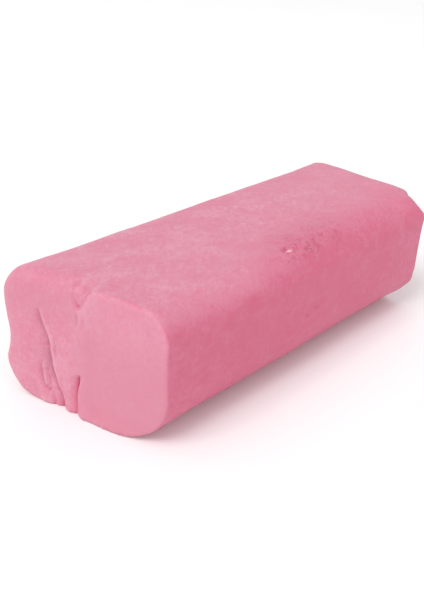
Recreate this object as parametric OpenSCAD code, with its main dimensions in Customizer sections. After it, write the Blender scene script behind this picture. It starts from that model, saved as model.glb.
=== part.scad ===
// Detailing clay bar: one lump of soft polymer clay, squared up and knife-cut at both ends.
// Millimetres, +Z up, +X along the bar. The origin is on the base, under the middle of the bar's box.
// The front is the -Y side. The near end is at -X, and half of it is pinched over into a rounded lobe.

/* [Bar] */
// Length along the middle of the bar
bar_l = 93; // [60:1:160]
// Width between the two long sides
bar_w = 41; // [32:0.5:60]
// Height from the base to the top
bar_h = 30; // [24:0.5:45]

/* [Long edges] */
// Radius of the top edge at the front
top_front_r = 7.5; // [3:0.5:9]
// Radius of the top edge at the back
top_back_r = 5.5; // [3:0.5:9]
// Radius of the bottom edge at the front
bottom_front_r = 12; // [4:0.5:14]
// Radius of the bottom edge at the back
bottom_back_r = 6; // [3:0.5:9]

/* [Knife cuts] */
// Angle of the near cut from square, in degrees, so that the back is longer than the front
near_cut_angle = 12.5; // [0:0.5:18]
// Angle of the far cut from square, in degrees, so that the back is longer than the front
far_cut_angle = 7; // [0:0.5:12]
// Lean of the far cut, in degrees, so that the top overhangs the base
far_cut_lean = 3; // [0:0.5:8]
// Radius of the upright edge where the far cut meets the back
far_back_r = 3; // [1:0.5:8]

/* [Pinched lobe] */
// Where the lobe meets the flat cut face, from the middle of the end towards the back
seam_y = 1; // [-4:0.5:5]
// Radius where the lobe's end rolls over into the top
lobe_top_r = 5; // [2:0.5:8]
// Radius of the lobe's upright back edge
lobe_back_r = 6; // [2:0.5:9]
// Radius where the lobe's end rolls under into the base
lobe_base_r = 2.5; // [1:0.5:5]
// Height of the middle of the waist pressed into the back of the lobe
waist_z = 13; // [9:0.5:16]
// Depth of the waist at the near end
waist_depth = 1.2; // [0.5:0.1:2]
// Radius of the finger or roller that pressed the waist
waist_r = 9; // [5:0.5:12]
// Distance along the bar in which the waist fades out
waist_l = 24; // [12:1:40]

/* [Creases] */
// Depth of the fold crease that runs down the lobe
fold_depth = 2; // [0.5:0.25:4]
// Width of the fold crease at the surface
fold_width = 1.6; // [0.5:0.1:3]
// Distance of the fold crease's upper end below the top
fold_below_top = 8; // [5:0.5:12]
// Offset of the fold crease's upper end from the seam
fold_top_y = 9.5; // [6:0.5:12]
// Offset of the fold crease's lower end from the seam
fold_foot_y = 3.6; // [2:0.2:6]
// Depth of the slot that opens at the foot of the seam
slot_depth = 3; // [1:0.5:6]
// Width of the slot at the surface
slot_width = 1.4; // [0.5:0.1:3]
// Height of the slot's upper end above the base
slot_h = 10.5; // [5:0.5:14]
// Depth of the notch at the head of the seam
notch_depth = 3.2; // [1:0.2:5]
// Width of the notch across the top edge
notch_width = 5; // [2:0.5:8]

/* [Hidden] */
$fn = 96;
clay_pink = [0.88, 0.46, 0.58];
past = 1; // how far a cutting tool runs past the clay
long = bar_l + bar_w; // longer than any stretch of the bar
notch_reach = 2.4; // how far the notch's foot lies below the top
waist_angle = atan(waist_depth / waist_l);

// The bar's furthest points along X, at the rounded upright edges where the ends meet the back
near_arc_y = bar_w / 2 - lobe_back_r;
near_x = -bar_l / 2 - tan(near_cut_angle) * near_arc_y + lobe_back_r / cos(near_cut_angle) - lobe_back_r;
far_arc_y = bar_w / 2 - far_back_r;
far_top_x = tan(far_cut_lean) * bar_h / 2;
far_x = bar_l / 2 + tan(far_cut_angle) * far_arc_y - far_back_r / cos(far_cut_angle) + far_back_r + far_top_x;

// A section with its own radius at each corner: [y, z, radius], from the bottom front anticlockwise
corners = [
    [-bar_w / 2, 0, bottom_front_r],
    [bar_w / 2, 0, bottom_back_r],
    [bar_w / 2, bar_h, top_back_r],
    [-bar_w / 2, bar_h, top_front_r]
];
// The way into the section from a corner
function into(c) = [c[0] < 0 ? 1 : -1, c[1] > 0 ? -1 : 1];
function arc_centre(c) = [c[0] + into(c)[0] * c[2], c[1] + into(c)[1] * c[2]];
// Where a corner's arc meets its upright side, and its level one
function on_side(c) = [c[0], c[1] + into(c)[1] * c[2]];
function on_level(c) = [c[0] + into(c)[0] * c[2], c[1]];

module section() {
    polygon([
        on_side(corners[0]), on_level(corners[0]), on_level(corners[1]), on_side(corners[1]),
        on_side(corners[2]), on_level(corners[2]), on_level(corners[3]), on_side(corners[3])
    ]);
    for (c = corners) translate(arc_centre(c)) circle(c[2]);
}

// The blank before it is cut, longer than the bar
module blank() {
    translate([-long / 2, 0, 0]) rotate([90, 0, 90]) linear_extrude(long) section();
}

// Puts its children in an end face's own frame: x runs into the clay, y along the face, z up
module at_near_cut() {
    translate([-bar_l / 2, 0, 0]) rotate([0, 0, near_cut_angle]) children();
}
module at_far_cut() {
    translate([bar_l / 2, 0, bar_h / 2]) rotate([0, -far_cut_lean, 180 - far_cut_angle]) children();
}

// What a knife stroke takes off, on the x < 0 side of a cut's frame
module offcut() {
    translate([-long, -long, -long]) cube([long, 2 * long, 2 * long]);
}

// The waste outside a radius r in a corner of the given angle. One side lies along +x, and the corner is at 0,0.
module corner_waste(angle, r) {
    reach = r / tan(angle / 2); // from the corner to where the arc meets each side
    centre = [reach, r];
    other_side = reach * [cos(angle), sin(angle)];
    outwards = past * [-sin(angle), cos(angle)];
    difference() {
        polygon([[-past, -past], [reach, -past], centre, other_side, other_side + outwards]);
        translate(centre) circle(r);
    }
}

// The clay that the pinch rolls away from the lobe's edges: top, base and upright back edge
module lobe_waste() {
    at_near_cut() {
        translate([0, long + seam_y, bar_h]) rotate([90, 0, 0]) mirror([0, 1, 0])
            linear_extrude(long) corner_waste(90, lobe_top_r);
        translate([0, long + seam_y + fold_foot_y, 0]) rotate([90, 0, 0])
            linear_extrude(long) corner_waste(90, lobe_base_r);
    }
    translate([-bar_l / 2 - tan(near_cut_angle) * bar_w / 2, bar_w / 2, -past]) mirror([0, 1, 0])
        linear_extrude(bar_h + 2 * past) corner_waste(90 - near_cut_angle, lobe_back_r);
}

// The upright edge where the far cut meets the back, rounded parallel to that cut's lean
module far_back_waste() {
    translate([bar_l / 2 + tan(far_cut_angle) * bar_w / 2, bar_w / 2, bar_h / 2]) rotate([0, far_cut_lean, 0])
        rotate([0, 0, 180])
            translate([0, 0, -long / 2]) linear_extrude(long) corner_waste(90 - far_cut_angle, far_back_r);
}

// A shallow waist along the back of the lobe, which fades out along the bar
module waist() {
    translate([near_x, bar_w / 2 - waist_depth + waist_r, waist_z]) rotate([0, 90, waist_angle])
        translate([0, 0, -lobe_back_r]) cylinder(r = waist_r, h = long);
}

// A wedge-shaped crease in the near end face, from one [y, z] point to another
module crease(from, to, width, depth) {
    way = to - from;
    mouth = width * (depth + past) / depth; // the wedge's width where it starts, outside the clay
    translate([0, from[0], from[1]]) rotate([atan2(-way[0], way[1]), 0, 0])
        linear_extrude(norm(way)) polygon([[depth, 0], [-past, -mouth / 2], [-past, mouth / 2]]);
}

module creases() {
    at_near_cut() {
        crease([seam_y + fold_foot_y, -past], [seam_y + fold_top_y, bar_h - fold_below_top],
               fold_width, fold_depth);
        crease([seam_y, -past], [seam_y, slot_h], slot_width, slot_depth);
    }
}

// The notch where the skin of the top is drawn down at the head of the seam
module notch() {
    at_near_cut() translate([-past, seam_y, bar_h - notch_reach]) rotate([90, 0, 90])
        linear_extrude(notch_depth + past)
            polygon([[0, 0], [notch_width / 2, notch_reach], [notch_width / 2, notch_reach + past],
                     [-notch_width / 2, notch_reach + past], [-notch_width / 2, notch_reach]]);
}

module clay_bar() {
    color(clay_pink) translate([-(near_x + far_x) / 2, 0, 0]) difference() {
        blank();
        at_near_cut() offcut();
        at_far_cut() offcut();
        lobe_waste();
        far_back_waste();
        waist();
        creases();
        notch();
    }
}

clay_bar();
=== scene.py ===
import math

import bpy
import numpy as np
from mathutils import Matrix, Vector


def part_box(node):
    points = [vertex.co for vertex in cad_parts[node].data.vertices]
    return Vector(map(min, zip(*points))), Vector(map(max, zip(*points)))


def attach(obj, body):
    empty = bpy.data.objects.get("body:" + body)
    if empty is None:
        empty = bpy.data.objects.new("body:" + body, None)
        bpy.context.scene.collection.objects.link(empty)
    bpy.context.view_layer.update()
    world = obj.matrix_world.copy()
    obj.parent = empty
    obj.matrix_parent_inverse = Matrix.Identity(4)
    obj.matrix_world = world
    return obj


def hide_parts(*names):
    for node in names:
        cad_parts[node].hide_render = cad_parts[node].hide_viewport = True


# A bar of pink detailing clay, lying on a pale table
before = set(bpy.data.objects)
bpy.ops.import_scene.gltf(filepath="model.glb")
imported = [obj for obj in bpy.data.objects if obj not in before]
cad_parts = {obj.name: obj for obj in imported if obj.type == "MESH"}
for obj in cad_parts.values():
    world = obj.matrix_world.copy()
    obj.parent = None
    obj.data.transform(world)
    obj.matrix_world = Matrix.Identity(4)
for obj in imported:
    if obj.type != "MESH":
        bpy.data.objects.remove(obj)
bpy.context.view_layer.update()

# ---------------------------------------------------------------------------------------------
# The bar's body. One lump of soft polymer clay, squared up in a trough and cut off with a knife.
# Its long edges are rounded, each by its own amount, and its sides sag and swell a little.
# Its lengths are in millimetres until its mesh is made, and the table's and lamps' are in metres.
# ---------------------------------------------------------------------------------------------
MM = 0.001
low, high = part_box("clay_bar")
half_w = (high.y - low.y) / MM / 2
bar_h = (high.z - low.z) / MM
mid_h = bar_h / 2
near_end = low.x / MM
far_end = high.x / MM
near_cut = near_end + 2.92  # where each cut crosses the middle line of the bar
far_cut = far_end - 2.15
near_cut_angle = math.radians(12.55)  # how far each cut is from square, seen from above
far_cut_angle = math.radians(5.5)
near_slant = math.tan(near_cut_angle)
far_slant = math.tan(far_cut_angle)
near_lean = math.tan(math.radians(2.7))  # how far each cut is from upright
far_lean = math.tan(math.radians(5.0))

# Radii of the long edges at the near end, a finger's breadth in from each end, and at the far end
stations = (near_end, near_end + 14, far_end - 12, far_end)
top_front_r = (4.6, 7.6, 7.6, 3.0)
top_back_r = (5.6, 6.0, 5.8, 4.6)
bottom_front_r = (11.8, 12.7, 13.2, 12.0)
bottom_back_r = (9.6, 8.0, 7.0, 7.0)


def ease(start, stop, v):
    """0 before start, 1 after stop, and a smooth S between them."""
    t = np.clip((v - start) / (stop - start), 0, 1)
    return t * t * (3 - 2 * t)


def swell(v, reach):
    """1 where v is 0, fading to nothing over about twice the reach."""
    return np.exp(-((v / reach) ** 2))


def mix(a, b, share):
    return a + (b - a) * share


lattice_cells = 64
lattice_shift = 200.3  # keeps the whole bar on the positive side of the lattice
rng = np.random.default_rng(11)
lattice = rng.uniform(-1, 1, (lattice_cells, lattice_cells, lattice_cells))


def lumps(x, y, z, size):
    """Smooth random swells from -1 to 1, of a given size along x, y and z."""
    p = [np.asarray(c, float) / s + lattice_shift for c, s in zip((x, y, z), size)]
    cell = [np.floor(c).astype(int) for c in p]
    t = [ease(0, 1, c - i) for c, i in zip(p, cell)]
    total = 0
    for corner in np.ndindex(2, 2, 2):
        share = 1
        at = []
        for i, side in enumerate(corner):
            share = share * (t[i] if side else 1 - t[i])
            at.append((cell[i] + side) % lattice_cells)
        total = total + share * lattice[at[0], at[1], at[2]]
    return total


def edge_radius(x, y, z):
    """Radius of the long edge nearest to a point."""
    four = [
        np.interp(x, stations, r)
        for r in (top_front_r, top_back_r, bottom_front_r, bottom_back_r)
    ]
    top = np.where(y < 0, four[0], four[1])
    bottom = np.where(y < 0, four[2], four[3])
    return np.where(z > mid_h, top, bottom)


def outside_section(x, y, z):
    """Distance outside the bar's long sides, negative within the clay."""
    r = edge_radius(x, y, z)
    out_y = np.abs(y) - half_w + r
    out_z = np.abs(z - mid_h) - mid_h + r
    round_part = np.hypot(np.maximum(out_y, 0), np.maximum(out_z, 0))
    return np.minimum(np.maximum(out_y, out_z), 0) + round_part - r


# Fingers have pressed a waist into the back of the near end, and the clay swells above and below it
waist_z = 14.4
waist_depth = 0.5
waist_length = 26  # how far along the bar it fades out
foot_z = 7.2
foot_swell = 1.1
shoulder_z = 23
shoulder_swell = 0.5
swell_length = 20
crown_height = 0.3  # how far the middle of the top stands proud
burr_z = 8.0  # the burr at the foot of the far end's front corner
burr_height = 0.9
lip_y = -9  # the lip along the far end's top edge
lip_height = 0.4


def squeezed(x, y, z):
    """How far the long sides lie inside their straight lines, from handling and their own weight."""
    from_near = x - near_end
    at_back = ease(0, half_w, y)
    waist = waist_depth * swell(z - waist_z, 3.2) * at_back * (1 - ease(2, waist_length, from_near))
    foot = -foot_swell * swell(z - foot_z, 2.8) * at_back * (1 - ease(2, swell_length, from_near))
    shoulder = -shoulder_swell * swell(z - shoulder_z, 4.0) * at_back * (1 - ease(2, swell_length, from_near))
    crown = -crown_height * swell(y, 15) * ease(mid_h, bar_h, z)
    sag = 0.22 * lumps(x, y, z, (26, 17, 15)) + 0.1 * lumps(x, y, z, (11, 8, 9))
    flat_base = ease(0.5, 6, z)
    far_burr = -burr_height * swell(z - burr_z, 1.6) * swell(x - far_end + 3, 2.2) * ease(0, half_w, -y)
    far_lip = -lip_height * swell(x - far_end, 7) * swell(y - lip_y, 6) * ease(mid_h, 26, z)
    return waist + foot + shoulder + crown + sag * flat_base + far_burr + far_lip


# ---------------------------------------------------------------------------------------------
# The near end. A knife has cut it off at a slant. The front half is still the flat cut face, and
# the back half has been pinched over with the thumb into a lobe, which folds against the cut face
# along a seam: a notch at its head, wrinkled clay in its middle and an open slot at its foot.
# ---------------------------------------------------------------------------------------------
seam_y = 0.6
map_step = 0.12  # spacing of the map of the near end's relief
map_y = np.arange(-25, 25, map_step)
map_z = np.arange(-4, 35, map_step)


def smooth_line(path, pieces=8):
    """More points on a smooth line through the points of a path."""
    p = np.array([path[0], *path, path[-1]], float)
    line = []
    for a, b, c, d in zip(p, p[1:], p[2:], p[3:]):
        bend = 2 * a - 5 * b + 4 * c - d
        sweep = 3 * b - a - 3 * c + d
        for t in np.arange(pieces) / pieces:
            line.append((2 * b + (c - a) * t + bend * t**2 + sweep * t**3) / 2)
    line.append(p[-1])
    return np.array(line)


def beside(y, z, path):
    """A point's distance from a smooth line, the same signed by side, and its share of the way along."""
    line = smooth_line(path)
    best = np.full(np.shape(y), np.inf)
    side = np.zeros(np.shape(y))
    share = np.zeros(np.shape(y))
    for i, (a, b) in enumerate(zip(line, line[1:])):
        way = b - a
        t = np.clip(((y - a[0]) * way[0] + (z - a[1]) * way[1]) / (way @ way), 0, 1)
        off_y = y - a[0] - t * way[0]
        off_z = z - a[1] - t * way[1]
        gap = np.hypot(off_y, off_z)
        nearer = gap < best
        best = np.where(nearer, gap, best)
        side = np.where(nearer, np.sign(off_z * way[0] - off_y * way[1]), side)
        share = np.where(nearer, (i + t) / (len(line) - 1), share)
    return best, best * side, share


# The folds' lines on the near end, as (y, z) from the head down
upper_fold = ((11.4, 22.6), (10.9, 20.6), (10.1, 18.6), (9.5, 17.0), (9.1, 15.2), (8.9, 13.6))
lower_fold = (
    (9.6, 15.6), (9.3, 13.8), (9.0, 11.6), (8.8, 9.6), (8.2, 7.5),
    (7.7, 5.9), (7.0, 4.3), (6.2, 2.6), (5.6, 0.0),
)
lip_line = ((10.5, 22.6), (9.8, 21.0), (9.2, 19.2), (8.4, 17.6), (7.8, 16.0), (7.6, 14.4), (7.4, 12.4))
groove_line = ((7.5, 18.6), (7.3, 16.4), (7.1, 14.4), (7.2, 12.6), (7.4, 11.2))
flap_line = ((11.5, 9.4), (11.4, 8.0), (11.1, 6.6), (10.6, 5.2), (9.8, 4.1), (9.1, 3.4))
flap_back_line = ((10.4, 9.0), (10.1, 7.4), (9.6, 5.8), (9.0, 4.4))
flap_edge_line = ((10.9, 8.8), (10.6, 7.0), (10.1, 5.4), (9.5, 4.4))
flap_swell_line = ((12.2, 7.4), (11.7, 5.4), (10.9, 3.8), (10.4, 2.6), (10.2, 1.6))
flap_foot_line = ((8.9, 3.0), (8.3, 2.0), (7.9, 0.9), (7.7, -0.4))
slot_line = ((0.8, 10.6), (1.0, 9.5), (1.3, 8.2), (1.65, 6.8), (1.95, 5.4), (2.1, 3.2), (2.0, -0.4))
tongue_line = ((4.0, 16.5), (4.2, 13.0), (4.3, 9.5), (4.1, 6.0), (3.7, 3.0), (3.6, 0.6))
swag_line = (
    (3.1, 29.4), (2.8, 28.3), (2.4, 27.2), (1.9, 26.3), (1.3, 25.7),
    (0.7, 25.6), (0.1, 26.1), (-0.5, 27.1), (-1.0, 28.1), (-1.4, 29.1),
)
upper_swag_line = ((3.2, 29.9), (2.4, 29.5), (1.5, 29.2), (0.6, 29.2), (-0.3, 29.6), (-1.2, 30.2))
inner_swag_line = ((1.1, 29.5), (0.7, 28.9), (0.2, 28.6), (-0.4, 29.0), (-1.0, 29.7))
ridge_line = ((0.7, 25.0), (0.3, 24.0), (0.2, 22.8), (0.4, 21.6), (0.9, 20.4))
drag_line = ((-5.5, 15.2), (-13.0, 17.8), (-21.5, 20.8))
lobe_middle_line = ((8, 24), (8, 2))
notch_foot = (0.9, 25.4)
cut_corner = (-2.2, bar_h)  # where the notch's crisp side reaches the top
notch_back_side = ((1.7, 25.2), (3.8, 30.2))


def across_line(y, z, a, b):
    """Distance to the +y side of the straight line from a up to b."""
    way_y, way_z = b[0] - a[0], b[1] - a[1]
    return ((y - a[0]) * way_z - (z - a[1]) * way_y) / math.hypot(way_y, way_z)


def beyond_cut(y, z):
    """0 on the flat cut face and 1 on the lobe. The change is sharp at the notch and slow below it."""
    notch_side = across_line(y, z, notch_foot, cut_corner)
    sharp = ease(-1.2, 1.3, notch_side)
    soft = ease(seam_y - 2.0, seam_y + 3.0, y)
    return mix(soft, sharp, ease(notch_foot[1] - 1.2, notch_foot[1] + 0.4, z))


def crease(y, z, path, crisp, slope, fade_in=0.1, fade_out=1.0):
    """A fold's depth from 0 to 1: a crisp edge to its -y side, and a slope that rises to its +y side."""
    gap, side, down = beside(y, z, path)
    shape = np.where(side < 0, swell(gap, crisp), np.exp(-gap / slope))
    path_end = 1.0001  # just past the end, so that a fold can run right up to it
    ends = ease(0, fade_in, down) * (1 - ease(fade_out, path_end, down))
    return shape * ends, down


def carve(y, z):
    """How far the near end lies behind the plane of the knife cut, at each (y, z)."""
    lobe = beyond_cut(y, z)
    face = 1 - lobe
    relief = np.zeros(np.shape(y))

    # The cut face is slightly crowned, and its foot has spread raggedly on the table
    relief += face * 0.0018 * (z - 16) ** 2
    relief -= face * 1.0 * swell(y + 6.0, 6.0) * swell(z, 1.8)
    relief -= 0.8 * swell(y + 0.2, 1.6) * swell(z - 0.2, 1.6)
    relief -= face * 0.3 * swell(z, 1.5) * lumps(y, z, 0 * y, (0.9, 1.5, 1))

    # The knife has raised a rim where it came out at the front, and left one faint drag line
    relief -= face * 0.34 * swell(y + 19.8, 2.6) * swell(z - 21.5, 6)
    _, side, down = beside(y, z, drag_line)
    drag = 0.05 * swell(side - 0.25, 0.35) - 0.07 * swell(side + 0.3, 0.4)
    relief += face * ease(0, 0.3, down) * drag

    # The lobe swells past the cut towards the bar's back
    relief += lobe * (0.3 - 1.25 * ease(8.5, 17, y) + 0.0010 * (z - 15) ** 2)

    # The long fold, in two strands with a hollow beside them, and a lip standing along its upper one
    fold, _ = crease(y, z, upper_fold, 0.2, 0.35, 0.15, 0.75)
    relief += 0.5 * fold
    fold, _ = crease(y, z, upper_fold, 0.4, 1.7, 0.3, 0.9)
    relief += 0.8 * fold
    fold, down = crease(y, z, lower_fold, 0.18, 0.42, 0.3)
    relief += mix(0.7, 1.1, ease(0.3, 0.7, down)) * fold
    fold, down = crease(y, z, lower_fold, 0.5, 2.0, 0.35)
    relief += mix(1.5, 0.5, ease(0.45, 0.7, down)) * fold
    relief += 0.25 * swell(np.hypot((y - 10.4) / 1.2, (z - 13.2) / 3.6), 1.0)
    gap, _, down = beside(y, z, lip_line)
    relief -= mix(0.4, 0.6, down) * ease(0, 0.2, down) * (1 - ease(0.7, 1, down)) * swell(gap, 0.5)
    fold, _ = crease(y, z, groove_line, 0.28, 0.3, 0.5, 0.7)
    relief += 0.35 * fold

    # A small flap of clay folded over low on the lobe
    fold, down = crease(y, z, flap_line, 0.16, 0.28, 0.15)
    relief += mix(0.55, 0.95, down) * fold
    fold, _ = crease(y, z, flap_back_line, 0.18, 0.25, 0.3, 0.8)
    relief += 0.5 * fold
    gap, _, _ = beside(y, z, flap_edge_line)
    relief -= 0.30 * swell(gap, 0.4)
    gap, _, down = beside(y, z, flap_swell_line)
    relief -= mix(0.4, 0.6, down) * swell(gap, 1.6) * ease(0, 0.4, down)
    fold, _ = crease(y, z, flap_foot_line, 0.2, 0.3, 0.4)
    relief += 0.5 * fold

    # The folds' foot has spread on the table
    relief -= 0.5 * swell(z - 0.4, 1.3) * swell(y - 8.5, 3.5)

    # The tongue bulges between the fold and the slot
    gap, _, down = beside(y, z, tongue_line)
    tongue_width = mix(2.4, 1.2, ease(0.2, 0.9, down))
    relief -= mix(0.35, 0.6, ease(0.4, 0.9, down)) * swell(gap, tongue_width)

    # The slot: the seam standing open at its foot, with a crisp side on the cut face
    fold, down = crease(y, z, slot_line, 0.25, 0.5, 0.35)
    relief += mix(1.4, 0.0, ease(0.3, 0.65, down)) * fold
    fold, down = crease(y, z, slot_line, 0.12, 0.15, 0.45)
    relief += mix(0.9, 0.5, ease(0.5, 0.8, down)) * fold
    fold, _ = crease(y, z, slot_line, 0.25, 1.4, 0.55, 0.75)
    relief += 0.7 * fold

    # The notch, where the skin of the top hangs down into the head of the seam in swags
    within = ease(-0.2, 0.5, across_line(y, z, notch_foot, cut_corner))
    within *= ease(-0.3, 0.8, -across_line(y, z, *notch_back_side)) * ease(25.0, 26.0, z)
    relief += within * mix(0.45, 0.2, ease(26.5, 29.5, z))
    gap, side, down = beside(y, z, swag_line)
    along_swag = mix(0.26, 0.46, ease(0.3, 0.7, down)) + 0.35 * swell(down - 0.48, 0.12)
    relief += along_swag * np.where(side > 0, swell(gap, 0.45), swell(gap, 0.4))
    relief -= 0.22 * within * swell(gap - 0.9, 0.4)
    gap, _, _ = beside(y, z, upper_swag_line)
    relief += 0.45 * within * swell(gap, 0.3)
    gap, _, _ = beside(y, z, inner_swag_line)
    relief += 0.45 * within * swell(gap, 0.28)

    # Clay puckered along the middle of the seam: a ridge below the notch, and fine wrinkles in a hollow
    _, side, down = beside(y, z, ridge_line)
    beside_ridge = swell(side - 0.85, 0.4) + 0.6 * swell(side + 0.8, 0.4)
    relief += 0.28 * (beside_ridge - swell(side, 0.35)) * ease(0, 0.4, down) * (1 - ease(0.6, 1, down))
    relief += 0.5 * swell(y + 2.6, 2.4) * swell(z - 16.5, 5.5)
    pucker = swell(y + 2.0, 3.4) * swell(z - 18.4, 4.8)
    relief += 0.15 * pucker * lumps(y, z, 0 * y, (0.9, 1.8, 1))

    # The lobe's skin is finely uneven
    gap, _, _ = beside(y, z, lobe_middle_line)
    lobe_skin = lobe * (1 - ease(0, 3, gap - 9))
    relief += 0.05 * lobe_skin * lumps(y + 40, z, 0 * y, (1.2, 1.2, 1))
    return relief


def shade_in_fold(y, z):
    """How much painted shade lies in the long fold, from 0 to 1."""
    upper, _ = crease(y, z, upper_fold, 0.2, 1.5, 0.3, 0.9)
    lower, _ = crease(y, z, lower_fold, 0.25, 1.9, 0.25)
    flap, beside_flap = crease(y, z, flap_line, 0.3, 0.5, 0.3, 0.8)
    lower = lower * mix(1.0, 0.5, ease(0.4, 0.75, beside_flap))
    return np.clip(0.7 * upper + lower + 0.4 * flap, 0, 1)


grid_y, grid_z = np.meshgrid(map_y, map_z, indexing="ij")
relief_map = carve(grid_y.ravel(), grid_z.ravel()).reshape(grid_y.shape)

# How far each spot lies below its surroundings: above 0 down in a fold, below 0 on a lip. The finish paints
# shade where it is above 0 and a highlight where it is below 0.
blur_passes = 140
surroundings = relief_map
for _ in range(blur_passes):
    across_pair = np.roll(surroundings, 1, 0) + np.roll(surroundings, -1, 0)
    up_pair = np.roll(surroundings, 1, 1) + np.roll(surroundings, -1, 1)
    surroundings = (surroundings + across_pair + up_pair) / 5
# The open slot and the foot along the table count as sunk too, for painted shade there
in_slot, slot_down = crease(grid_y, grid_z, slot_line, 0.2, 1.1, 0.3, 0.75)
at_foot = swell(grid_z - 0.4, 1.1) * ease(0.5, 2.0, grid_y) * (1 - ease(7.5, 10.0, grid_y))
sunk_map = relief_map - surroundings + mix(0.45, 0.1, slot_down) * in_slot + 0.35 * at_foot


def read_map(chart, y, z):
    """A map of the near end at any (y, z)."""
    last_gap = 1.001  # keeps a point at the map's edge within its last gap
    across = np.clip((y - map_y[0]) / map_step, 0, len(map_y) - last_gap)
    up = np.clip((z - map_z[0]) / map_step, 0, len(map_z) - last_gap)
    i, j = across.astype(int), up.astype(int)
    s, t = across - i, up - j
    below = mix(chart[i, j], chart[i + 1, j], s)
    above = mix(chart[i, j + 1], chart[i + 1, j + 1], s)
    return mix(below, above, t)


def near_plane(y, z):
    return near_cut - near_slant * y + near_lean * (z - mid_h)


def far_plane(y, z):
    return far_cut + far_slant * y + far_lean * (z - mid_h)


def near_rim(y, z):
    """Radius where the near end meets the long sides: crisp round the cut, full round the lobe."""
    around_lobe = mix(0.5, mix(3.0, 3.6, ease(24, 28, z)), ease(1, 8, z))
    around_cut = mix(0.25, 0.75, ease(0, 3, z))
    return mix(around_cut, around_lobe, beyond_cut(y, z))


def rounded(a, b, r):
    """Where two cuts meet, the edge between them rounded to a radius."""
    return np.minimum(np.maximum(a, b), -r) + np.hypot(np.maximum(a + r, 0), np.maximum(b + r, 0))


def far_scrape(x, y, z):
    """Distance outside the flat that the knife's heel scraped on the far end's top front corner."""
    kink = 0.3 * swell(y + 14.8, 0.7)
    return (-y - 14.0) * 0.58 + (z - 29.3) * 0.81 + kink - 3.5 * ease(1, 9, far_end - x)


far_rim_r = 0.8  # edge round the far end
scrape_r = 0.5  # edges of the scraped flat


def outside_clay(x, y, z):
    """Above 0 outside the clay and below 0 within it."""
    sides = rounded(outside_section(x, y, z) + squeezed(x, y, z), far_scrape(x, y, z), scrape_r)
    near = (near_plane(y, z) + read_map(relief_map, y, z) - x) * math.cos(near_cut_angle)
    far = (x - far_plane(y, z)) * math.cos(far_cut_angle)
    return rounded(rounded(sides, near, near_rim(y, z)), far, far_rim_r)


# The mesh is a closed grid: rings round the bar, rim rings that turn over each end, and two caps.
# Each point starts on a plain rounded block and slides along its own straight line to the clay.
block_r = 8.0  # long edges of the starting block
rim_r = 5.0  # edges round its ends
corner_steps = 13  # half of a corner
wide_steps = 74
tall_steps = 46
long_steps = 180
near_rim_steps = 16
far_rim_steps = 10

spots = np.linspace(0, 1, 400)  # fine enough to measure the spacing by


def spaced(count, closeness):
    """Places from 0 to 1, of which there are more where the closeness is high."""
    travel = np.concatenate([[0], np.cumsum(closeness[1:] + closeness[:-1])])
    return np.interp(np.linspace(0, travel[-1], count + 1), travel, spots)


# The points lie closer together across the lobe
wide_spots = spaced(wide_steps, 1 + 0.9 * swell(spots - 0.70, 0.22))
tall_spots = np.linspace(0, 1, tall_steps + 1)


def ring():
    """Points round the block's section and the ways they face, from the bottom front anticlockwise."""
    points = []
    facing = []
    inner_w, inner_h = half_w - block_r, mid_h - block_r
    corners = ((-1, -1), (1, -1), (1, 1), (-1, 1))
    side_spots = (wide_spots, tall_spots, 1 - wide_spots[::-1], tall_spots)
    half_corner = math.radians(45)
    for k, (cy, cz) in enumerate(corners):
        ny, nz = corners[(k + 1) % 4]
        start = math.radians(225 + 90 * k)
        for i in range(corner_steps):
            a = start + half_corner * i / corner_steps
            points.append((cy * inner_w, cz * inner_h))
            facing.append((math.cos(a), math.sin(a)))
        a = start + half_corner
        for t in side_spots[k][:-1]:
            points.append((mix(cy, ny, t) * inner_w, mix(cz, nz, t) * inner_h))
            facing.append((math.cos(a), math.sin(a)))
        for i in range(corner_steps):
            a = start + half_corner * (1 + i / corner_steps)
            points.append((ny * inner_w, nz * inner_h))
            facing.append((math.cos(a), math.sin(a)))
    return np.array(points), np.array(facing)


middle, facing = ring()
ring_n = len(middle)
inset = middle + facing * (block_r - rim_r)
inset_z = inset[:, 1] + mid_h

# The rings lie closer together near the lobe, and where the skin is pitted
ring_spots = spaced(long_steps, 1 - 0.3 * ease(0.10, 0.22, spots) + 0.55 * swell(spots - 0.54, 0.10))

starts = []
ways = []
near_x = near_plane(inset[:, 0], inset_z) + rim_r
far_x = far_plane(inset[:, 0], inset_z) - rim_r
turn = np.linspace(1, -1, near_rim_steps + 1)
near_rim_angles = math.pi / 4 * (1 + 0.55 * turn + 0.45 * turn**3)  # closest in the middle of the turn
far_rim_angles = np.linspace(0, math.pi / 2, far_rim_steps + 1)
for a in near_rim_angles[:-1]:
    way = np.column_stack([np.full(ring_n, -math.sin(a)), facing * math.cos(a)])
    starts.append(np.column_stack([near_x, inset[:, 0], inset_z]) + 0 * way)
    ways.append(way)
for t in ring_spots:
    way = np.column_stack([np.zeros(ring_n), facing])
    starts.append(np.column_stack([mix(near_x, far_x, t), inset[:, 0], inset_z]))
    ways.append(way)
for a in far_rim_angles[1:]:
    way = np.column_stack([np.full(ring_n, math.sin(a)), facing * math.cos(a)])
    starts.append(np.column_stack([far_x, inset[:, 0], inset_z]))
    ways.append(way)
ring_count = len(starts)

# The caps are sheets of points spread between the first ring's four sides, and the last one's
side_wide = wide_steps + 2 * corner_steps
side_tall = tall_steps + 2 * corner_steps


def cap_grid():
    """Numbers within a ring of the points along a cap's four edges."""
    bottom = np.arange(side_wide + 1)
    right = side_wide + np.arange(side_tall + 1)
    top = side_wide + side_tall + side_wide - np.arange(side_wide + 1)
    left = (2 * side_wide + 2 * side_tall - np.arange(side_tall + 1)) % ring_n
    return bottom % ring_n, right % ring_n, top % ring_n, left


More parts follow.
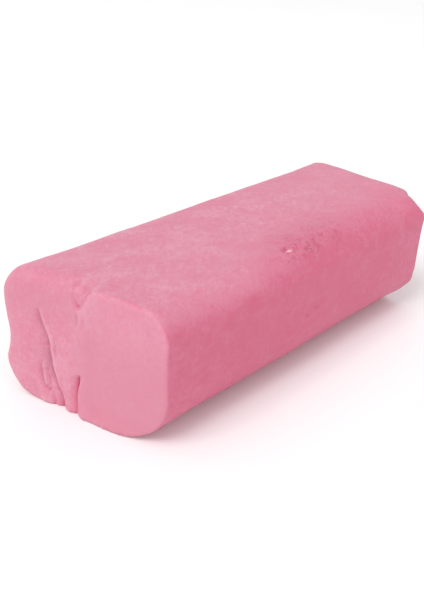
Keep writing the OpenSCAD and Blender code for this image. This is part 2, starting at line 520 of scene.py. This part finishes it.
def cap_points():
    """(y, z) of every point of a cap, edges included."""
    bottom, right, top, left = cap_grid()
    u = np.linspace(0, 1, side_wide + 1)[:, None, None]
    v = np.linspace(0, 1, side_tall + 1)[None, :, None]
    p = inset
    sheet = (1 - v) * p[bottom][:, None] + v * p[top][:, None]
    sheet = sheet + (1 - u) * p[left][None] + u * p[right][None]
    corners = (1 - u) * (1 - v) * p[bottom[0]] + u * (1 - v) * p[bottom[-1]]
    corners = corners + (1 - u) * v * p[top[0]] + u * v * p[top[-1]]
    return sheet - corners


sheet = cap_points()[1:-1, 1:-1].reshape(-1, 2)
inner_z = sheet[:, 1] + mid_h
for plane, outward in ((near_plane, -1), (far_plane, 1)):
    x = plane(sheet[:, 0], inner_z) - outward * rim_r
    starts.append(np.column_stack([x, sheet[:, 0], inner_z]))
    ways.append(np.tile([outward, 0.0, 0.0], (len(sheet), 1)))

# Each point comes in from outside by short strides, then halves its last stride to settle on the clay
first_reach = rim_r + 4.0
stride = 0.15
most_strides = 75
halvings = 12

start = np.concatenate(starts)
way = np.concatenate(ways)
reach = np.full(len(start), first_reach)
for _ in range(most_strides):
    p = start + way * reach[:, None]
    outside = outside_clay(*p.T) > 0
    reach = np.where(outside, reach - stride, reach)
    if not outside.any():
        break
inner = reach
outer = reach + stride
for _ in range(halvings):
    middle_reach = (inner + outer) / 2
    p = start + way * middle_reach[:, None]
    outside = outside_clay(*p.T) > 0
    outer = np.where(outside, middle_reach, outer)
    inner = np.where(outside, inner, middle_reach)
skin = start + way * inner[:, None]

# Four-sided faces between one ring and the next, and over each cap
faces = []
ring_ids = np.arange(ring_count * ring_n).reshape(ring_count, ring_n)
for a, b in zip(ring_ids, ring_ids[1:]):
    faces.append(np.column_stack([a, np.roll(a, -1), np.roll(b, -1), b]))
inner_count = (side_wide - 1) * (side_tall - 1)
for cap, edge_ring in ((0, ring_ids[0]), (1, ring_ids[-1])):
    ids = np.zeros((side_wide + 1, side_tall + 1), int)
    bottom, right, top, left = cap_grid()
    ids[:, 0] = edge_ring[bottom]
    ids[:, -1] = edge_ring[top]
    ids[0, :] = edge_ring[left]
    ids[-1, :] = edge_ring[right]
    first = ring_count * ring_n + cap * inner_count
    ids[1:-1, 1:-1] = first + np.arange(inner_count).reshape(side_wide - 1, side_tall - 1)
    quad = [ids[:-1, :-1], ids[1:, :-1], ids[1:, 1:], ids[:-1, 1:]]
    if cap == 0:
        quad.reverse()
    faces.append(np.column_stack([q.ravel() for q in quad]))
faces = np.concatenate(faces)


def facing_of(points):
    """The direction that each point of the skin faces."""
    a, b, c, d = (points[faces[:, i]] for i in range(4))
    normal = np.cross(c - a, d - b)
    total = np.zeros_like(points)
    for i in range(4):
        np.add.at(total, faces[:, i], normal)
    return total / np.linalg.norm(total, axis=1)[:, None]


# ---------------------------------------------------------------------------------------------
# Marks on the skin of the same clay. The top has been wiped on the slant and is finely wrinkled.
# Small pits have torn open where it was stretched over the top front edge. The front side shows
# faint drag lines along the bar, and two nicks.
# ---------------------------------------------------------------------------------------------
wipe_along = 0.70  # the slanted wipe's run along the bar and across it
wipe_across = 0.71
wrinkle_width = 0.32
pits = (  # x, y, size along the bar, size across it, depth
    (-2.7, -15.2, 1.05, 0.50, 1.10),
    (2.9, -17.0, 0.60, 0.34, 0.80),
    (13.9, -15.7, 0.42, 0.38, 0.70),
    (5.8, -15.2, 0.50, 0.26, 0.40),
    (9.3, -15.8, 0.22, 0.62, 0.35),
    (-2.0, -12.2, 0.50, 0.30, 0.32),
    (8.0, -11.4, 0.22, 0.60, 0.28),
    (9.9, -10.6, 0.22, 0.50, 0.22),
    (3.8, -4.0, 0.50, 0.32, 0.25),
    (6.1, -16.9, 0.42, 0.30, 0.40),
    (4.1, -17.4, 0.50, 0.30, 0.30),
    (16.2, -16.6, 0.40, 0.30, 0.30),
)
top_wrinkles = (  # paths over the top as (x, y), and depth
    (((-45.3, 6.2), (-45.6, 4.6), (-45.8, 3.4), (-45.6, 2.5), (-45.2, 1.7), (-44.5, 1.2)), 0.34),
    (((-45.1, 3.6), (-44.6, 2.8), (-43.8, 2.8), (-42.8, 3.4)), 0.20),
    (((-47.1, -1.2), (-45.6, -2.0), (-44.4, -2.2)), 0.10),
)
nicks = ((2.4, 15.9), (-0.5, 15.0))  # x, z in the front side
nick_length = 0.65
nick_height = 0.35
nick_depth = 0.4


def marks(p, facing):
    """How far each point of the skin sinks, and how strongly a painted highlight lies on the lit wall of each
    pit.
    """
    x, y, z = p.T
    top = ease(0.45, 0.85, facing[:, 2])
    front = ease(0.3, 0.8, -facing[:, 1])
    along = wipe_along * x - wipe_across * y
    across = wipe_across * x + wipe_along * y
    sink = 0.045 * top * lumps(along, across, z, (4.0, 1.7, 9))
    sink += 0.035 * top * lumps(along, across, z, (1.7, 1.0, 9))
    sink += 0.10 * lumps(x, y, z, (7, 6, 6)) * ease(-46, -40, x)
    sink += 0.03 * front * lumps(x, y, z, (9, 2, 2.2))
    pebbled = swell(x - 6, 14) * swell(y + 15, 6) * ease(mid_h, 26, z)
    sink += 0.04 * pebbled * lumps(x, y, z, (0.9, 0.8, 0.8))
    for path, depth in top_wrinkles:
        gap, _, down = beside(x, y, path)
        sink += depth * top * swell(gap, wrinkle_width) * ease(0, 0.2, down) * (1 - ease(0.8, 1, down))
    pit_glint = np.zeros(len(p))
    for px, py, size_x, size_y, depth in pits:
        off = np.hypot((x - px) / size_x, (y - py) / size_y)
        sink += depth * (swell(off, 1.0) - 0.18 * swell(off - 1.7, 0.5)) * (z > mid_h)
        # The wall that faces the lamp gets a painted highlight
        wall = np.hypot((x - px - 0.3 * size_x) / size_x, (y - py + 0.9 * size_y) / size_y)
        pit_glint += depth**2 * swell(wall, 0.7) * (z > mid_h)
    for nx, nz in nicks:
        off = np.hypot((x - nx) / nick_length, (z - nz) / nick_height)
        sink += nick_depth * front * swell(off, 1.0)
    return sink, pit_glint


out = facing_of(skin)
sink, pit_glint = marks(skin, out)
skin_x, skin_y, skin_z = skin.T
# What the finish needs on the near end: the fold depth for painted shade in creases, the clean cut face, and
# the painted shade in the long fold
on_near_end = ease(3.5, 2.0, skin_x - near_plane(skin_y, skin_z)) * ease(0, -0.5, out[:, 0])
fold_depth = np.clip(on_near_end * read_map(sunk_map, skin_y, skin_z), -1, 2)
cut_clean = on_near_end * (1 - beyond_cut(skin_y, skin_z))
fold_shade_amount = on_near_end * shade_in_fold(skin_y, skin_z)
skin = skin - out * sink[:, None]

# The mesh keeps what the finish needs to know at each point
mesh = bpy.data.meshes.new("clay")
mesh.from_pydata((skin * MM).tolist(), [], faces.tolist())
mesh.shade_smooth()
for name, values in (
    ("fold depth", fold_depth),
    ("clean cut", cut_clean),
    ("pit glint", pit_glint),
    ("painted fold shade", fold_shade_amount),
):
    mesh.attributes.new(name, "FLOAT", "POINT").data.foreach_set("value", values)
clay = bpy.data.objects.new("clay", mesh)
bpy.context.scene.collection.objects.link(clay)


class Signal:
    """One output of a shader node. Sums written with it add Math nodes to its material."""

    def __init__(self, socket):
        self.socket = socket

    def node(self, kind, settings=None, inputs=None, output=0):
        """Adds a node: settings first, then its inputs, each a value or another Signal."""
        tree = self.socket.id_data
        made = tree.nodes.new("ShaderNode" + kind)
        for name, value in (settings or {}).items():
            setattr(made, name, value)
        for name, value in (inputs or {}).items():
            if isinstance(value, Signal):
                tree.links.new(value.socket, made.inputs[name])
            else:
                made.inputs[name].default_value = value
        return Signal(made.outputs[output])

    def sum(self, operation, *terms):
        return self.node("Math", {"operation": operation}, dict(enumerate(terms)))

    def __add__(self, other):
        return self.sum("ADD", self, other)

    __radd__ = __add__

    def __mul__(self, other):
        return self.sum("MULTIPLY", self, other)

    __rmul__ = __mul__

    def __sub__(self, other):
        return self.sum("SUBTRACT", self, other)

    def __rsub__(self, other):
        return self.sum("SUBTRACT", other, self)

    def between(self, start, stop, low=0.0, high=1.0):
        """low below start, high above stop, and a smooth S between them."""
        return self.node(
            "MapRange",
            {"interpolation_type": "SMOOTHSTEP"},
            {"Value": self, "From Min": start, "From Max": stop, "To Min": low, "To Max": high},
        )

    def tint(self, a, b):
        """Colour a where this is 0, colour b where it is 1."""
        return self.node("Mix", {"data_type": "RGBA"}, {0: self, 6: a, 7: b}, output=2)


# The clay's finish: matt, dyed through, and slightly translucent, under a film that dries on it
finish = bpy.data.materials.new("pink clay")
finish.use_nodes = True
shader = finish.node_tree.nodes["Principled BSDF"]
place = Signal(finish.node_tree.nodes.new("ShaderNodeTexCoord").outputs["Object"])


def turned(angle, stretch):
    """The place on the bar in millimetres, turned about the upright and squeezed, for a drawn-out pattern."""
    turn_by = {"Vector": place, "Angle": math.radians(angle)}
    spun = place.node("VectorRotate", {"rotation_type": "Z_AXIS"}, turn_by)
    return spun.node("VectorMath", {"operation": "MULTIPLY"}, {0: spun, 1: [1000 / s for s in stretch]})


def pattern(where, detail, roughness, distortion=0.0):
    """Random mottling, from about 0.3 to 0.7."""
    grades = {"Scale": 1.0, "Detail": detail, "Roughness": roughness, "Distortion": distortion}
    return where.node("TexNoise", {}, {"Vector": where, **grades})


def carried(name):
    """A value that the mesh holds at each point."""
    return place.node("Attribute", {"attribute_name": name}, output=2)


# Some of these pinks are painted light: the deepest red is painted shade in creases, the grey one painted
# shade in the long fold, the dull one painted shade low on the cut face (and a darker pink high on the lobe),
# and the palest a painted highlight in the pits. The deep and pale pinks also carry painted shade on the
# front side and a painted sheen on lit faces.
crease_shade_pink = (0.74, 0.115, 0.215, 1)
deep_pink = (0.60, 0.121, 0.214, 1)
clay_pink = (0.640, 0.202, 0.296, 1)
pale_pink = (0.680, 0.320, 0.408, 1)
glint_pink = (0.86, 0.56, 0.63, 1)
fold_shade_pink = (0.47, 0.175, 0.245, 1)
darker_end_pink = (0.60, 0.208, 0.288, 1)

crease_shade = carried("fold depth")
cut = carried("clean cut")
pit_glint = carried("pit glint")
fold_shade = carried("painted fold shade")
way_faced = place.node("NewGeometry", output=1)
endward = place.node("SeparateXYZ", {}, {0: way_faced}, output=0)
upward = place.node("SeparateXYZ", {}, {0: way_faced}, output=2)
along, across, above = (place.node("SeparateXYZ", {}, {0: place}, output=i) * 1000 for i in range(3))

# Where the clay is different: the cut end and the top, paler as a painted sheen; the front of the top, where
# that painted sheen fades as painted shade; the film on the top; and the stretched and pitted edge
on_end = (0 - endward).between(0.15, 0.75)
sheen_fade = (0 - across).between(2, 21) * along.between(-30, 5) * 0.78
film_and_sheen = upward.between(0.25, 0.95) * (1 - sheen_fade) * (1.04 - along.between(-45, 45) * 0.12)
pale_sheen = film_and_sheen.sum("MAXIMUM", film_and_sheen, on_end)
ends = along.sum("ABSOLUTE", along).between(20, 46)
pebbled = along.between(-14, 2) * (1 - along.between(10, 24))
pebbled = pebbled * (0 - across).between(4, 13) * above.between(25.5, 29.0)

# A dried film lies on the clay in wisps and patches, and is rubbed off between them
wipe_angle = 45.3  # degrees
wisps = pattern(turned(wipe_angle, (2.5, 2.6, 2.6)), 5.0, 0.62, 1.1)
patches = pattern(turned(30, (9.0, 6.0, 8.0)), 3.0, 0.5, 0.6)
grain = pattern(turned(wipe_angle, (0.45, 0.8, 0.6)), 2.0, 0.6)
speckle = pattern(turned(wipe_angle, (0.9, 1.7, 1.2)), 3.0, 0.65)
drag = pattern(turned(0, (3.4, 3.0, 3.2)), 5.0, 0.62, 0.6)
rough_skin = (1 - cut * 0.35) * (0.5 + pale_sheen * 0.5)
pocks = speckle.between(0.54, 0.64) * pebbled
film = (wisps * 0.6 + patches * 0.4).between(0.3, 0.7)

# How pale the clay is, from 0 for bare deep pink to 1 under the thickest film. It is partly film and partly
# painted light:
# paler as a painted sheen where the clay faces up or towards the near end, and deep pink as painted shade on
# the front side.
film_and_sheen_level = pale_sheen * 0.58 + (film - 0.5) * (film_and_sheen * 0.31)
film_and_sheen_level = film_and_sheen_level + (film - 0.5) * (on_end * 0.16) * rough_skin + on_end * 0.05
film_and_sheen_level = film_and_sheen_level + (drag - 0.5) * ((1 - pale_sheen) * 0.65) + (patches - 0.5) * 0.25 * rough_skin
film_and_sheen_level = film_and_sheen_level + ends * (1 - pale_sheen) * 0.10
film_and_sheen_level = film_and_sheen_level + ((speckle - 0.5) * 0.6 + (grain - 0.5) * 0.6) * rough_skin
film_and_sheen_level = film_and_sheen_level + cut * 0.02 - crease_shade * 0.75 - pocks * 0.36
colour = film_and_sheen_level.between(-0.1, 0.45).tint(deep_pink, clay_pink)
colour = film_and_sheen_level.between(0.35, 1.05).tint(colour, pale_pink)

# Darker low on the cut face, as painted shade, and darker high on the lobe; painted shade, greyer, in the
# long fold;
# painted shade deeper down in the creases, with a painted highlight on their lips; and a painted highlight on
# the lit wall of each pit
darker_on_end = cut * (1 - above.between(17, 27)) * 0.55 + (on_end - cut) * above.between(16, 24) * 0.5
colour = darker_on_end.tint(colour, darker_end_pink)
colour = fold_shade.between(0.1, 1.1).tint(colour, fold_shade_pink)
colour = crease_shade.between(0.15, 1.0).tint(colour, crease_shade_pink)
colour = pit_glint.between(0.15, 0.7).tint(colour, glint_pink)

# How high the skin stands, in millimetres
height = film * film_and_sheen * 0.07 + grain * (0.03 + pebbled * 0.06) + drag * 0.03
height = height + speckle * (0.08 + pebbled * 0.3) * rough_skin - pocks * 0.3
relief = height.node("Bump", {}, {"Height": height, "Strength": 0.6, "Distance": MM})

tree = finish.node_tree
tree.links.new(colour.socket, shader.inputs["Base Color"])
tree.links.new(relief.socket, shader.inputs["Normal"])
tree.links.new((0.5 + 0.12 * (patches - 0.5)).socket, shader.inputs["Roughness"])
shader.inputs["Subsurface Weight"].default_value = 0.25
shader.inputs["Subsurface Radius"].default_value = (1.0, 0.35, 0.35)
shader.inputs["Subsurface Scale"].default_value = 0.0015
shader.inputs["Specular IOR Level"].default_value = 0.4
mesh.materials.append(finish)

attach(clay, "root")
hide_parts("clay_bar")

# ---------------------------------------------------------------------------------------------
# The table: one flat sheet of board with a pale matt coating. It lies level and reaches 1.5 m from
# the bar each way. The bar rests on it by its own weight.
# ---------------------------------------------------------------------------------------------
table_size = 3.0
table_white = (0.94, 0.94, 0.94, 1)
table_mesh = bpy.data.meshes.new("table")
edge = table_size / 2
table_mesh.from_pydata(
    [(-edge, -edge, 0), (edge, -edge, 0), (edge, edge, 0), (-edge, edge, 0)], [], [(0, 1, 2, 3)]
)
table = bpy.data.objects.new("table", table_mesh)
bpy.context.scene.collection.objects.link(table)
coating = bpy.data.materials.new("pale table")
coating.use_nodes = True
coating.node_tree.nodes["Principled BSDF"].inputs["Base Color"].default_value = table_white
coating.node_tree.nodes["Principled BSDF"].inputs["Roughness"].default_value = 0.9
table_mesh.materials.append(coating)

# ---------------------------------------------------------------------------------------------
# Light and camera: a bright white room, a broad soft lamp high over the near end, and a weaker one
# low in front. The camera looks down on the corner between the near end and the front side.
# ---------------------------------------------------------------------------------------------
room_brightness = 0.80
room = bpy.data.worlds.new("room")
room.use_nodes = True
room.node_tree.nodes["Background"].inputs["Color"].default_value = (1, 1, 1, 1)
room.node_tree.nodes["Background"].inputs["Strength"].default_value = room_brightness
bpy.context.scene.world = room


def lamp(name, towards, distance, size, power):
    """A square soft lamp that shines on the bar from a direction."""
    data = bpy.data.lights.new(name, "AREA")
    data.shape = "SQUARE"
    data.size = size
    data.energy = power
    made = bpy.data.objects.new(name, data)
    way = Vector(towards).normalized()
    made.location = way * distance
    made.rotation_euler = way.to_track_quat("Z", "Y").to_euler()
    bpy.context.scene.collection.objects.link(made)


lamp("main lamp", (-0.70, -0.04, 0.96), distance=2.6, size=1.3, power=31.0)
lamp("fill lamp", (-0.1, -1.0, 0.35), distance=2.6, size=2.2, power=7.0)

azimuth = math.radians(-45.27)
elevation = math.radians(28.68)
roll = math.radians(0.906)
aim = Vector((-4.42, 5.2, 10.0)) * MM
away = 180.2 * MM
level = math.cos(elevation)
back = Vector((math.sin(azimuth) * level, -math.cos(azimuth) * level, math.sin(elevation)))
right = Vector((math.cos(azimuth), math.sin(azimuth), 0))
up = back.cross(right)
right_rolled = right * math.cos(roll) + up * math.sin(roll)
up_rolled = up * math.cos(roll) - right * math.sin(roll)
lens = bpy.data.cameras.new("camera")
lens.lens = 44.67
lens.sensor_width = 36
lens.clip_start = 0.01
camera = bpy.data.objects.new("camera", lens)
facing_bar = Matrix((right_rolled, up_rolled, back)).transposed().to_4x4()
camera.matrix_world = Matrix.Translation(aim + back * away) @ facing_bar
bpy.context.scene.collection.objects.link(camera)
bpy.context.scene.camera = camera
bpy.context.scene.view_settings.view_transform = "Standard"
